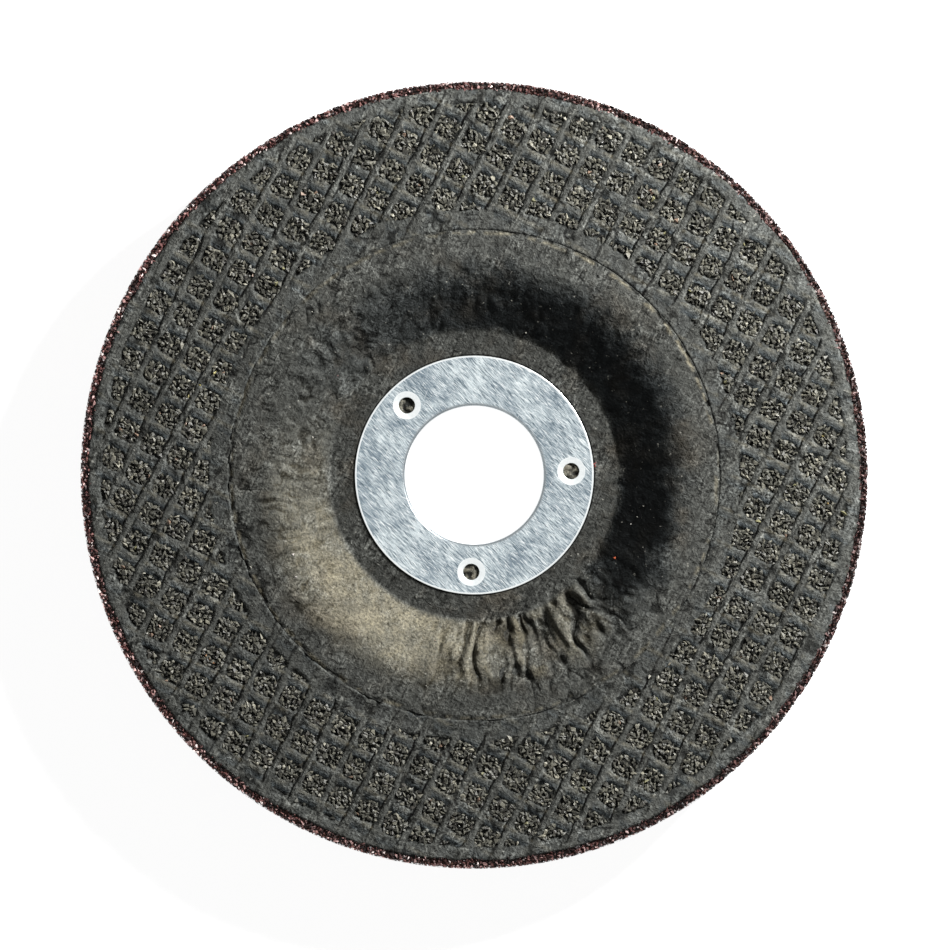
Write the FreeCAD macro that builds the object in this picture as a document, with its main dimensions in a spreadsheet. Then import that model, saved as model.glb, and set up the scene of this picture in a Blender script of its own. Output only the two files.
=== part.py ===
"""Grinding disc with a depressed centre, for a hand-held angle grinder.

The disc lies on the back of its hub with the working face up. The origin is the
centre of the hub's back face, +Z is the spindle axis and points out of the recess.
All lengths are millimetres and all angles are degrees.
"""
import FreeCAD, Part
import os

import Sketcher

# Driving sizes: name, value, what it is
SIZES = (
    ("disc_radius", 62.5, "outside radius of the disc"),
    ("disc_thickness", 6.5, "thickness of the grinding ring"),
    ("hub_thickness", 6.5, "thickness of the hub at the ring"),
    ("recess_depth", 4.6, "working face down to the recess floor"),
    ("wall_angle", 27, "slope of the recess wall"),
    ("floor_margin", 3.7, "flat floor outside the ring's seat"),
    ("mouth_round", 11.1, "round between recess wall and working face"),
    ("hub_margin", 2.0, "back of the hub beyond the recess floor"),
    ("hub_ease", 1.2, "bevel at the edge of the hub's back"),
    ("rim_width", 1.2, "bare grit outside the glass cloth"),
    ("cloth_thickness", 0.55, "resin-soaked glass cloth on the working face"),
    ("centre_band", 4.3, "smooth ring between the wall and the step"),
    ("centre_step", 0.15, "step at the edge of the doubled centre"),
    ("inner_band", 3.1, "smooth ring between the step and the weave"),
    ("outer_band", 2.1, "smooth ring outside the weave"),
    ("pit_depth", 0.45, "openings of the weave, below the warp"),
    ("weft_drop", 0.12, "weft bundles below the warp strands"),
    ("weft_pitch", 5.09, "weft spacing"),
    ("weft_width", 1.6, "weft bundle"),
    ("weft_turn", 62.1, "direction across the weft"),
    ("weft_phase", 3.46, "first weft bundle from the centre"),
    ("warp_pitch", 4.73, "warp spacing"),
    ("warp_width", 1.0, "warp strand"),
    ("warp_turn", 153.0, "direction across the warp"),
    ("warp_phase", 2.73, "first warp strand from the centre"),
    ("bore_radius", 11.115, "bore for the spindle"),
    ("ring_sheet", 0.5, "steel sheet of the bore ring"),
    ("lip_ease", 0.35, "bevel from the flange into the neck"),
    ("flange_width", 7.95, "bore to the flange's outer edge"),
    ("flange_stand", 0.25, "flange above the recess floor"),
    ("flange_gap", 0.2, "gap round the flange's outer edge"),
    ("neck_gap", 0.1, "gap between the neck and the hub's hole"),
    ("neck_inset", 0.3, "end of the neck inside the hub's back"),
    ("anchor_inset", 3.6, "anchor holes in from the flange's edge"),
    ("anchor_radius", 1.28, "anchor hole"),
    ("anchor_dish", 0.85, "dished margin round an anchor hole"),
    ("anchor_depth", 0.35, "depth of the dish round an anchor hole"),
    ("anchor_one", 2.3, "direction of the first anchor hole"),
    ("anchor_two", 134.1, "direction of the second anchor hole"),
    ("anchor_three", 268.2, "direction of the third anchor hole"),
)

# Places worked out from the sizes, each from those above it
PLACES = (
    ("flange_edge", "sizes.bore_radius + sizes.flange_width"),
    ("seat_edge", "places.flange_edge + sizes.flange_gap"),
    ("floor_edge", "places.seat_edge + sizes.floor_margin"),
    ("wall_run", "sizes.recess_depth / tan(sizes.wall_angle)"),
    ("mouth_corner", "places.floor_edge + places.wall_run"),
    ("mouth_end", "places.mouth_corner + sizes.mouth_round * tan(sizes.wall_angle / 2)"),
    ("step_edge", "places.mouth_end + sizes.centre_band"),
    ("weave_inside", "places.step_edge + sizes.inner_band"),
    ("cloth_edge", "sizes.disc_radius - sizes.rim_width"),
    ("weave_outside", "places.cloth_edge - sizes.outer_band"),
    ("hub_edge", "places.floor_edge + sizes.hub_margin"),
    ("floor_top", "sizes.hub_thickness"),
    ("floor_under", "places.floor_top - sizes.cloth_thickness"),
    ("face_top", "places.floor_top + sizes.recess_depth"),
    ("face_under", "places.face_top - sizes.cloth_thickness"),
    ("centre_top", "places.face_top + sizes.centre_step"),
    ("centre_corner", "places.mouth_corner + sizes.centre_step / tan(sizes.wall_angle)"),
    ("back_plane", "places.face_top - sizes.disc_thickness"),
    ("foot_corner", "places.hub_edge + places.back_plane / tan(sizes.wall_angle)"),
    ("pit_floor", "places.face_top - sizes.pit_depth"),
    ("weft_top", "places.face_top - sizes.weft_drop"),
    ("warp_top", "places.face_top + sizes.pit_depth"),
    ("pit_roof", "places.face_top + sizes.pit_depth / 2"),
    ("flange_top", "places.floor_top + sizes.flange_stand"),
    ("flange_under", "places.flange_top - sizes.ring_sheet"),
    ("neck_outside", "sizes.bore_radius + sizes.ring_sheet"),
    ("hub_hole", "places.neck_outside + sizes.neck_gap"),
    ("anchor_circle", "places.flange_edge - sizes.anchor_inset"),
    ("dish_edge", "sizes.anchor_radius + sizes.anchor_dish"),
)

ANCHORS = ("anchor_one", "anchor_two", "anchor_three")

# Lengths closer than this are the same length
MATCH = 1e-4


def make_sheet(doc, name, rows):
    """Sheet with one named cell for each row."""
    sheet = doc.addObject("Spreadsheet::Sheet", name)
    for line, (alias, content, *_note) in enumerate(rows, start=1):
        text = f"={content}" if isinstance(content, str) else str(content)
        sheet.set(f"A{line}", alias)
        sheet.set(f"B{line}", text)
        sheet.setAlias(f"B{line}", alias)
    doc.recompute()
    return sheet


def origin_part(body, role):
    """Origin plane or axis of a body, by its role."""
    return next(item for item in body.Origin.OriginFeatures if item.Role == role)


def new_body(doc, name):
    """Empty body that shows its own name."""
    body = doc.addObject("PartDesign::Body", name)
    body.Label = name
    return body


def section_sketch(body, name, corners):
    """Closed outline on the body's XZ plane through corners given as radius and height.

    A line between two corners of one height is held level and one between two corners
    of one radius is held upright; every other corner place has its own dimension.
    """
    sketch = body.newObject("Sketcher::SketchObject", name)
    sketch.AttachmentSupport = [(origin_part(body, "XZ_Plane"), "")]
    sketch.MapMode = "FlatFace"
    points = [
        FreeCAD.Vector(*(float(sketch.evalExpression(term)) for term in corner), 0)
        for corner in corners
    ]
    count = len(points)
    for index, point in enumerate(points):
        sketch.addGeometry(Part.LineSegment(point, points[(index + 1) % count]), False)
    for index in range(count):
        sketch.addConstraint(Sketcher.Constraint("Coincident", index, 2, (index + 1) % count, 1))
    for index, (radius, height) in enumerate(corners):
        before = corners[index - 1] if index else (None, None)
        if radius == before[0]:
            sketch.addConstraint(Sketcher.Constraint("Vertical", index - 1))
        else:
            place_corner(sketch, index, "DistanceX", points[index].x, radius)
        if height == before[1]:
            sketch.addConstraint(Sketcher.Constraint("Horizontal", index - 1))
        elif height == "0":
            sketch.addConstraint(Sketcher.Constraint("PointOnObject", index, 1, -1))
        else:
            place_corner(sketch, index, "DistanceY", points[index].y, height)
    return sketch


def place_corner(sketch, index, kind, value, expression):
    """Dimension from the origin to the start of one line, driven by the sheets."""
    row = sketch.addConstraint(Sketcher.Constraint(kind, -1, 1, index, 1, value))
    label = f"corner_{index}_{kind[-1].lower()}"
    sketch.renameConstraint(row, label)
    sketch.setExpression(f"Constraints.{label}", expression)


def revolve(body, sketch, name):
    """Full turn of a section about the body's Z axis."""
    turned = body.newObject("PartDesign::Revolution", name)
    turned.Profile = sketch
    turned.ReferenceAxis = (origin_part(body, "Z_Axis"), [""])
    turned.Angle = 360
    body.Document.recompute()
    return turned


def ease_edge(body, kind, name, corner, key, expression):
    """Fillet or chamfer on the circular edge that a corner of the section drew."""
    base = body.Tip
    radius, height = (float(base.evalExpression(term)) for term in corner)
    wanted = [
        f"Edge{number}"
        for number, edge in enumerate(base.Shape.Edges, start=1)
        if isinstance(edge.Curve, Part.Circle)
        and abs(edge.Curve.Radius - radius) < MATCH
        and abs(edge.Curve.Center.z - height) < MATCH
    ]
    eased = body.newObject(f"PartDesign::{kind}", name)
    eased.Base = (base, wanted)
    eased.setExpression(key, expression)
    body.Document.recompute()
    return eased


def cut(doc, name, base, tool):
    """One shape less another."""
    result = doc.addObject("Part::Cut", name)
    result.Base = base
    result.Tool = tool
    return result


def fuse(doc, name, shapes):
    """Several shapes as one."""
    result = doc.addObject("Part::MultiFuse", name)
    result.Shapes = shapes
    return result


def upright(doc, kind, name, low, high, **radii):
    """Upright cylinder or cone between two heights; radii and heights are expressions."""
    solid = doc.addObject(f"Part::{kind}", name)
    solid.setExpression("Placement.Base.z", low)
    solid.setExpression("Height", f"{high} - ({low})")
    for key, expression in radii.items():
        solid.setExpression(key, expression)
    return solid


def at_anchor(solid, angle):
    """Move an upright solid onto the anchor circle, in the given direction."""
    solid.setExpression("Placement.Base.x", f"places.anchor_circle * cos(sizes.{angle})")
    solid.setExpression("Placement.Base.y", f"places.anchor_circle * sin(sizes.{angle})")
    return solid


def make_abrasive_disc(doc):
    """Moulded grit and resin: grinding ring, sloping wall and raised hub in one piece."""
    body = new_body(doc, "abrasive_disc")
    corners = (
        ("places.hub_hole", "0"),
        ("places.hub_edge", "0"),
        ("places.foot_corner", "places.back_plane"),
        ("sizes.disc_radius", "places.back_plane"),
        ("sizes.disc_radius", "places.face_under"),
        ("places.mouth_corner", "places.face_under"),
        ("places.floor_edge", "places.floor_under"),
        ("places.hub_hole", "places.floor_under"),
    )
    revolve(body, section_sketch(body, "disc_section", corners), "disc_turned")
    ease_edge(body, "Chamfer", "hub_edge_eased", corners[1], "Size", "sizes.hub_ease")
    return body


def make_cloth_blank(doc):
    """Glass cloth before its weave shows: it follows the disc's face and seats the ring."""
    body = new_body(doc, "cloth_blank")
    corners = (
        ("places.hub_hole", "places.floor_under"),
        ("places.floor_edge", "places.floor_under"),
        ("places.mouth_corner", "places.face_under"),
        ("places.cloth_edge", "places.face_under"),
        ("places.cloth_edge", "places.face_top"),
        ("places.step_edge", "places.face_top"),
        ("places.step_edge", "places.centre_top"),
        ("places.centre_corner", "places.centre_top"),
        ("places.floor_edge", "places.floor_top"),
        ("places.seat_edge", "places.floor_top"),
        ("places.seat_edge", "places.flange_under"),
        ("places.hub_hole", "places.flange_under"),
    )
    revolve(body, section_sketch(body, "cloth_section", corners), "cloth_turned")
    ease_edge(body, "Fillet", "mouth_rounded", corners[7], "Radius", "sizes.mouth_round")
    return body


def make_strands(doc, family):
    """One family of strands: a bar across the disc, repeated at its pitch.

    The row is drawn clear of the body's own axis, so that every corner of its section
    has a positive place, and the whole body is then moved back and turned.
    """
    body = new_body(doc, f"{family}_strands")
    aside = "sizes.disc_radius * 2"
    reach = f"ceil(places.weave_outside / sizes.{family}_pitch)"
    first = f"{aside} + sizes.{family}_phase - {reach} * sizes.{family}_pitch"
    half = f"sizes.{family}_width / 2"
    foot = "places.pit_floor - sizes.pit_depth"
    top = f"places.{family}_top"
    corners = (
        (f"{first} - {half}", foot),
        (f"{first} + {half}", foot),
        (f"{first} + {half}", top),
        (f"{first} - {half}", top),
    )
    sketch = section_sketch(body, f"{family}_section", corners)
    bar = body.newObject("PartDesign::Pad", f"{family}_bar")
    bar.Profile = sketch
    bar.Midplane = True
    bar.setExpression("Length", "sizes.disc_radius * 2")
    doc.recompute()
    row = body.newObject("PartDesign::LinearPattern", f"{family}_row")
    row.Originals = [bar]
    row.Direction = (origin_part(body, "X_Axis"), [""])
    row.setExpression("Occurrences", f"2 * {reach} + 1")
    row.setExpression("Length", f"2 * {reach} * sizes.{family}_pitch")
    body.Tip = row
    body.setExpression("Placement.Rotation.Angle", f"sizes.{family}_turn")
    body.setExpression("Placement.Base.x", f"-{aside} * cos(sizes.{family}_turn)")
    body.setExpression("Placement.Base.y", f"-{aside} * sin(sizes.{family}_turn)")
    doc.recompute()
    return body


def make_pits(doc):
    """The openings between the strands, inside the ring that shows the weave."""
    outside = upright(
        doc, "Cylinder", "weave_outer", "places.pit_floor", "places.pit_roof",
        Radius="places.weave_outside",
    )
    inside = upright(
        doc, "Cylinder", "weave_inner", "places.pit_floor - sizes.pit_depth",
        "places.pit_roof + sizes.pit_depth", Radius="places.weave_inside",
    )
    ring = cut(doc, "weave_ring", outside, inside)
    between_weft = cut(doc, "between_weft", ring, make_strands(doc, "weft"))
    return cut(doc, "weave_pits", between_weft, make_strands(doc, "warp"))


def make_front_cloth(doc):
    """Resin-soaked glass cloth on the working face, with the open weave pressed in."""
    cloth = cut(doc, "front_cloth", make_cloth_blank(doc), make_pits(doc))
    cloth.Label = "front_cloth"
    return cloth


def make_bore_ring(doc):
    """Pressed steel ring: flat flange, neck through the hub and three dished holes."""
    body = new_body(doc, "ring_blank")
    corners = (
        ("sizes.bore_radius", "sizes.neck_inset"),
        ("places.neck_outside", "sizes.neck_inset"),
        ("places.neck_outside", "places.flange_under"),
        ("places.flange_edge", "places.flange_under"),
        ("places.flange_edge", "places.flange_top"),
        ("sizes.bore_radius", "places.flange_top"),
    )
    revolve(body, section_sketch(body, "ring_section", corners), "ring_turned")
    ease_edge(body, "Chamfer", "lip_eased", corners[5], "Size", "sizes.lip_ease")
    holes = []
    for angle in ANCHORS:
        dish = upright(
            doc, "Cone", f"{angle}_dish",
            "places.flange_top - sizes.anchor_depth", "places.flange_top",
            Radius1="sizes.anchor_radius", Radius2="places.dish_edge",
        )
        hole = upright(
            doc, "Cylinder", f"{angle}_hole",
            "places.flange_under - sizes.ring_sheet", "places.flange_top",
            Radius="sizes.anchor_radius",
        )
        holes.append(at_anchor(dish, angle))
        holes.append(at_anchor(hole, angle))
    ring = cut(doc, "bore_ring", body, fuse(doc, "anchor_holes", holes))
    ring.Label = "bore_ring"
    return ring


def check(doc, nodes):
    """Stop if any object failed or a sub-part isn't one valid solid."""
    for item in doc.Objects:
        if {"Invalid", "Error"} & set(item.State):
            raise RuntimeError(f"{item.Name} failed: {item.State}")
    for node in nodes:
        if node.Shape.isNull() or not node.Shape.isValid():
            raise RuntimeError(f"{node.Label} has no valid shape")


def main():
    """Build the document and write each sub-part to its own file."""
    os.makedirs("parts", exist_ok=True)
    doc = FreeCAD.newDocument("grinding_disc")
    make_sheet(doc, "sizes", SIZES)
    make_sheet(doc, "places", PLACES)
    nodes = [make_abrasive_disc(doc), make_front_cloth(doc), make_bore_ring(doc)]
    doc.recompute()
    check(doc, nodes)
    for node in nodes:
        shape = node.Shape
        shape.exportStep(f"parts/{node.Label}.step")
        print(node.Label, len(shape.Solids), "solid", round(shape.Volume, 2), "mm3")


main()
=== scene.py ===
import math

import bpy
import numpy as np
from mathutils import Matrix


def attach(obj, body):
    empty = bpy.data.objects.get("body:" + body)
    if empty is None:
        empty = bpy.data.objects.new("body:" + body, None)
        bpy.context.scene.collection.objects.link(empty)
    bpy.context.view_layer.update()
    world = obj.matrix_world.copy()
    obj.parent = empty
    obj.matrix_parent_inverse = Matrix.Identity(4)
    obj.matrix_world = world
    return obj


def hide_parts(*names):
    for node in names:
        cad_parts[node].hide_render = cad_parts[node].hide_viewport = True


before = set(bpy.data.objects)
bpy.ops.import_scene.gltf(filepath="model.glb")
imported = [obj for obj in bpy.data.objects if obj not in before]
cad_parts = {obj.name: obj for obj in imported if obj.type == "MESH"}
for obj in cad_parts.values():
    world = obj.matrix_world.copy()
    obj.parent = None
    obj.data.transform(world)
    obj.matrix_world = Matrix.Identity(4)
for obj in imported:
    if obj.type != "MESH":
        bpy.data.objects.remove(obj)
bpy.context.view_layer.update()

# Lengths are worked out in millimetres and turned to metres when a mesh is made
MM = 0.001

# The disc's own sizes, as in its frame
DISC_RADIUS = 62.5
CLOTH_EDGE = 61.3
WEAVE_OUTSIDE = 59.2
WEAVE_INSIDE = 42.06
STEP_EDGE = 38.96
FLOOR_EDGE = 22.965
SEAT_EDGE = 19.265
HUB_HOLE = 11.715
HUB_EDGE = 24.965
MOUTH_UNDER = 31.993
FOOT_CORNER = 33.993
BACK_PLANE = 4.6
FLOOR_UNDER = 5.95
FLANGE_UNDER = 6.25
FLOOR_TOP = 6.5
FLANGE_TOP = 6.75
FACE_UNDER = 10.55
PIT_FLOOR = 10.65
FACE_TOP = 11.1
CENTRE_TOP = 11.25
WALL_ANGLE = math.radians(27)
MOUTH_ROUND = 11.1
BORE_RADIUS = 11.115
FLANGE_EDGE = 19.065
RING_SHEET = 0.5
NECK_END = 0.32
ANCHOR_CIRCLE = 15.465
ANCHOR_RADIUS = 1.28
ANCHOR_DISH = 2.13
ANCHOR_DEPTH = 0.35
ANCHOR_TURNS = (2.3, 134.1, 268.2)

# Each family of strands: direction across it in degrees, pitch and first strand
WEFT = (62.1, 5.09, 3.46)
WARP = (153.0, 4.73, 2.73)
WEFT_WIDTH = 1.7
WARP_WIDTH = 1.0

# Furthest that a crack's distance is told to the material
CRACK_REACH = 0.6

# Where folds and dust begin at the wall's foot and end at its head
WALL_FOOT = 22.9
WALL_HEAD = 36.5

# Small gaps that keep the surfaces of two pieces from lying in one plane
HAIR = 0.005
SUNK = 0.02

# The photograph's width in pixels and its scale
PHOTO_WIDTH = 950
PIXELS_PER_MM = 6.303

# Kinds of node that the materials use most. Inputs go by number where names repeat:
# RANGE has its value at 0, its old range at 1 and 2 and its new one at 3 and 4; MIX has
# its share at 0, numbers at 2 and 3 and colours at 6 and 7.
MATH = "ShaderNodeMath"
NOISE = "ShaderNodeTexNoise"
MIX = "ShaderNodeMix"
RANGE = "ShaderNodeMapRange"
MAPPING = "ShaderNodeMapping"
SPLIT = "ShaderNodeSeparateColor"
ATTRIBUTE = "ShaderNodeVertexColor"


# Numbers

def smooth(low, high, value):
    """Smooth step: 0 below low, 1 above high and 3t^2 - 2t^3 between."""
    t = np.clip((value - low) / (high - low), 0, 1)
    return t * t * (3 - 2 * t)


def bell(value, centre, width):
    """Bell curve exp(-((value - centre) / width)^2)."""
    return np.exp(-(((value - centre) / width) ** 2))


def about(degrees, middle, wide):
    """Bell round the axis: 1 at an azimuth, fading over so many degrees."""
    return bell((degrees - middle + 180) % 360 - 180, 0, wide)


def around(columns):
    """Azimuths in equal steps round the axis, in radians."""
    return np.linspace(0, 2 * math.pi, columns, endpoint=False)


def noise(x, y, size, seed):
    """Value noise: random numbers on a square lattice, blended by smooth steps.

    The lattice repeats after 256 cells, and its shift keeps the axis off its lines.
    """
    table = np.random.default_rng(seed).random((256, 256))
    u, v = x / size + 128.37, y / size + 128.71
    i, j = np.floor(u).astype(int), np.floor(v).astype(int)
    f, g = u - i, v - j
    f, g = f * f * (3 - 2 * f), g * g * (3 - 2 * g)
    a, b = table[i % 256, j % 256], table[(i + 1) % 256, j % 256]
    c, d = table[i % 256, (j + 1) % 256], table[(i + 1) % 256, (j + 1) % 256]
    return (a * (1 - f) + b * f) * (1 - g) + (c * (1 - f) + d * f) * g


def across(x, y, family):
    """Signed distance from the nearest strand of a family, folded into half a pitch."""
    turn, pitch, first = family
    place = x * math.cos(math.radians(turn)) + y * math.sin(math.radians(turn)) - first
    return (place + pitch / 2) % pitch - pitch / 2


def bundle(distance, half):
    """Round bundle of fibres: height sqrt(1 - |d / half|^2.4) over its width."""
    return np.sqrt(np.clip(1 - np.abs(distance / half) ** 2.4, 0, 1))


def strands(x, y):
    """Distances from weft and warp, with the small wander of a hand-laid cloth."""
    weft = across(x + 0.34 * (noise(x, y, 11, 3) - 0.5), y + 0.34 * (noise(x, y, 13, 4) - 0.5), WEFT)
    warp = across(x + 0.34 * (noise(x, y, 12, 5) - 0.5), y + 0.34 * (noise(x, y, 15, 6) - 0.5), WARP)
    return weft, warp


def from_mesh_middle(weft, warp, grow_u=1.0, grow_v=1.0):
    """Rounded square (u / a)^4 + (v / b)^4 about the middle of an opening: 1 on its edge."""
    half_u = (WEFT[1] - WEFT_WIDTH) / 2 * grow_u
    half_v = (WARP[1] - WARP_WIDTH) / 2 * grow_v
    # The weft leans, so an opening ends nearer to its crest on one side
    u = (WEFT[1] / 2 - np.abs(weft + 0.07)) / half_u
    v = (WARP[1] / 2 - np.abs(warp)) / half_v
    return u ** 4 + v ** 4


def choose_crack(*cracks):
    """Of several cracks, each a signed distance and a strength, the one that shows most.

    Its strength fades out before the distance reaches its limit, so no false crack
    appears where one family of lines gives way to the next.
    """
    distance, strength = cracks[0]
    for other, other_strength in cracks[1:]:
        better = other_strength * bell(other, 0, 0.35) > strength * bell(distance, 0, 0.35)
        distance = np.where(better, other, distance)
        strength = np.where(better, other_strength, strength)
    return distance, strength * (1 - smooth(0.35, 0.55, np.abs(distance)))


# Meshes

def put_object(name, data):
    """New object in the scene that shows the data."""
    made = bpy.data.objects.new(name, data)
    bpy.context.collection.objects.link(made)
    return made


def make_piece(name, points, faces, smooth_shade=True, body="root"):
    """Mesh piece from arrays of points in millimetres and of faces with equal corners."""
    mesh = bpy.data.meshes.new(name)
    count, corners = faces.shape
    mesh.vertices.add(len(points))
    mesh.vertices.foreach_set("co", (np.asarray(points) * MM).astype(np.float32).ravel())
    mesh.loops.add(count * corners)
    mesh.loops.foreach_set("vertex_index", faces.astype(np.int32).ravel())
    mesh.polygons.add(count)
    mesh.polygons.foreach_set("loop_start", np.arange(0, count * corners, corners, dtype=np.int32))
    mesh.polygons.foreach_set("use_smooth", np.full(count, smooth_shade))
    mesh.update(calc_edges=True)
    mesh.validate()
    piece = put_object(name, mesh)
    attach(piece, body)
    return piece


def turn_section(name, radius, height, columns):
    """Closed section of rows (radius, height) carried round Z and joined to itself.

    Point = (radius cos a, radius sin a, height), a in equal steps; a row may vary with a.
    The sign of the section's area says which way round a face points outward.
    """
    angle = around(columns)
    rows = len(radius)
    radius = np.broadcast_to(radius, (rows, columns))
    height = np.broadcast_to(height, (rows, columns))
    points = np.stack([radius * np.cos(angle), radius * np.sin(angle), height], axis=2)
    row, column = np.meshgrid(np.arange(rows), np.arange(columns), indexing="ij")
    next_row, next_column = (row + 1) % rows, (column + 1) % columns
    quads = np.stack([
        (row * columns + column).ravel(),
        (row * columns + next_column).ravel(),
        (next_row * columns + next_column).ravel(),
        (next_row * columns + column).ravel(),
    ], axis=1)
    r, z = radius[:, 0], height[:, 0]
    if np.sum(r * np.roll(z, -1) - np.roll(r, -1) * z) < 0:
        quads = quads[:, ::-1]
    return make_piece(name, points.reshape(-1, 3), quads)


def paint(piece, name, *channels):
    """Store up to four arrays as a colour for each point of a piece, for its material."""
    values = np.stack([channel.ravel() for channel in channels], axis=1)
    layer = piece.data.color_attributes.new(name, "FLOAT_COLOR", "POINT")
    colours = np.ones((len(values), 4), dtype=np.float32)
    colours[:, :values.shape[1]] = values
    layer.data.foreach_set("color", colours.ravel())


def make_grains(name, centres, size, tilt, colours, seed):
    """Crushed grains: uneven double pyramids, longer than they are wide or thick.

    Corner = one of the six unit axis points, moved in or out and sideways at random,
    times (0.9 to 1.1, 0.5 to 0.85, 0.4 to 0.65) * size, rolled about its length, tilted
    by up to tilt radians, turned about Z, plus the centre. No corner leaves the cylinder
    that the disc was moulded in.
    """
    random = np.random.default_rng(seed)
    count = len(centres)
    ends = np.array([(1, 0, 0), (-1, 0, 0), (0, 1, 0), (0, -1, 0), (0, 0, 1), (0, 0, -1)], dtype=float)
    faces = np.array([(0, 2, 4), (2, 1, 4), (1, 3, 4), (3, 0, 4),
                      (2, 0, 5), (1, 2, 5), (3, 1, 5), (0, 3, 5)])
    corners = ends[None] * random.uniform(0.75, 1.1, (count, 6, 1))
    corners = corners + random.uniform(-0.3, 0.3, (count, 6, 3))
    corners = corners * random.uniform((0.9, 0.5, 0.4), (1.1, 0.85, 0.65), (count, 3))[:, None]
    corners = corners * size[:, None, None]
    x, y, z = corners[..., 0], corners[..., 1], corners[..., 2]
    roll, lean, turn = (random.uniform(-reach, reach, (count, 1)) for reach in (math.pi, tilt, math.pi))
    y, z = y * np.cos(roll) - z * np.sin(roll), y * np.sin(roll) + z * np.cos(roll)
    x, z = x * np.cos(lean) + z * np.sin(lean), z * np.cos(lean) - x * np.sin(lean)
    x, y = x * np.cos(turn) - y * np.sin(turn), x * np.sin(turn) + y * np.cos(turn)
    points = np.stack([x, y, z], axis=2) + centres[:, None, :]
    away = np.hypot(points[..., 0], points[..., 1])
    points[..., :2] *= np.minimum(1, (DISC_RADIUS - HAIR) / away)[..., None]
    points[..., 2] = np.clip(points[..., 2], 0, CENTRE_TOP)
    all_faces = (faces[None] + 6 * np.arange(count)[:, None, None]).reshape(-1, 3)
    piece = make_piece(name, points.reshape(-1, 3), all_faces, smooth_shade=False)
    paint(piece, "grain", *np.repeat(colours, 6, axis=0).T)
    return piece


def paint_cloth(piece, looks, under_rows):
    """Tell the cloth's material its looks; the rows of the underside are plain.

    The looks are lightness with painted shade and highlight, wear with painted highlight,
    painted cool shade, distance from a crack and its strength. A distance, stored as
    0.5 + d / (2 reach), keeps its zero between the corners of a face, so a crack stays
    sharp however coarse the mesh is.
    """
    light, worn, cool, distance, strength = (
        np.vstack([look, np.full((under_rows, look.shape[1]), plain)])
        for look, plain in zip(looks, (0.3, 0, 0, CRACK_REACH, 0)))
    paint(piece, "shape", light, np.clip(worn, 0, 1), np.clip(cool, 0, 1))
    paint(piece, "crack", np.clip(0.5 + distance / (2 * CRACK_REACH), 0, 1), strength)


# Materials' helpers

def srgb(code):
    """Linear colour of an sRGB hex value."""
    parts = [int(code[k:k + 2], 16) / 255 for k in (1, 3, 5)]
    return tuple(c / 12.92 if c <= 0.04045 else ((c + 0.055) / 1.055) ** 2.4 for c in parts) + (1.0,)


def srgb_rows(*codes):
    """Array with the linear colour of each sRGB hex value in a row."""
    return np.array([srgb(code)[:3] for code in codes])


def per_mm(size):
    """Texture scale at which a pattern's unit is so many millimetres."""
    return 1 / (size * MM)


def add(tree, kind, settings):
    """Add one node: a setting is a property, a value for an input, or what is linked to it."""
    made = tree.nodes.new(kind)
    for key, value in settings.items():
        if isinstance(value, bpy.types.Node):
            value = value.outputs[0]
        if isinstance(value, bpy.types.NodeSocket):
            tree.links.new(value, made.inputs[key])
        elif isinstance(key, str) and hasattr(made, key):
            setattr(made, key, value)
        else:
            made.inputs[key].default_value = value
    return made


def start_material(name, constants):
    """New material with its tree, its shader with its constants, and the Object coordinates."""
    material = bpy.data.materials.new(name)
    material.use_nodes = True
    tree = material.node_tree
    tree.nodes.clear()
    shader = add(tree, "ShaderNodeBsdfPrincipled", constants)
    add(tree, "ShaderNodeOutputMaterial", {"Surface": shader})
    place = add(tree, "ShaderNodeTexCoord", {}).outputs["Object"]
    return material, tree, shader, place


def from_axis(tree, place):
    """Socket with the distance from the disc's axis, in metres."""
    flat = add(tree, "ShaderNodeVectorMath", {"operation": "MULTIPLY", 0: place, 1: (1, 1, 0)})
    return add(tree, "ShaderNodeVectorMath", {"operation": "LENGTH", 0: flat}).outputs["Value"]


# Materials

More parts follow.
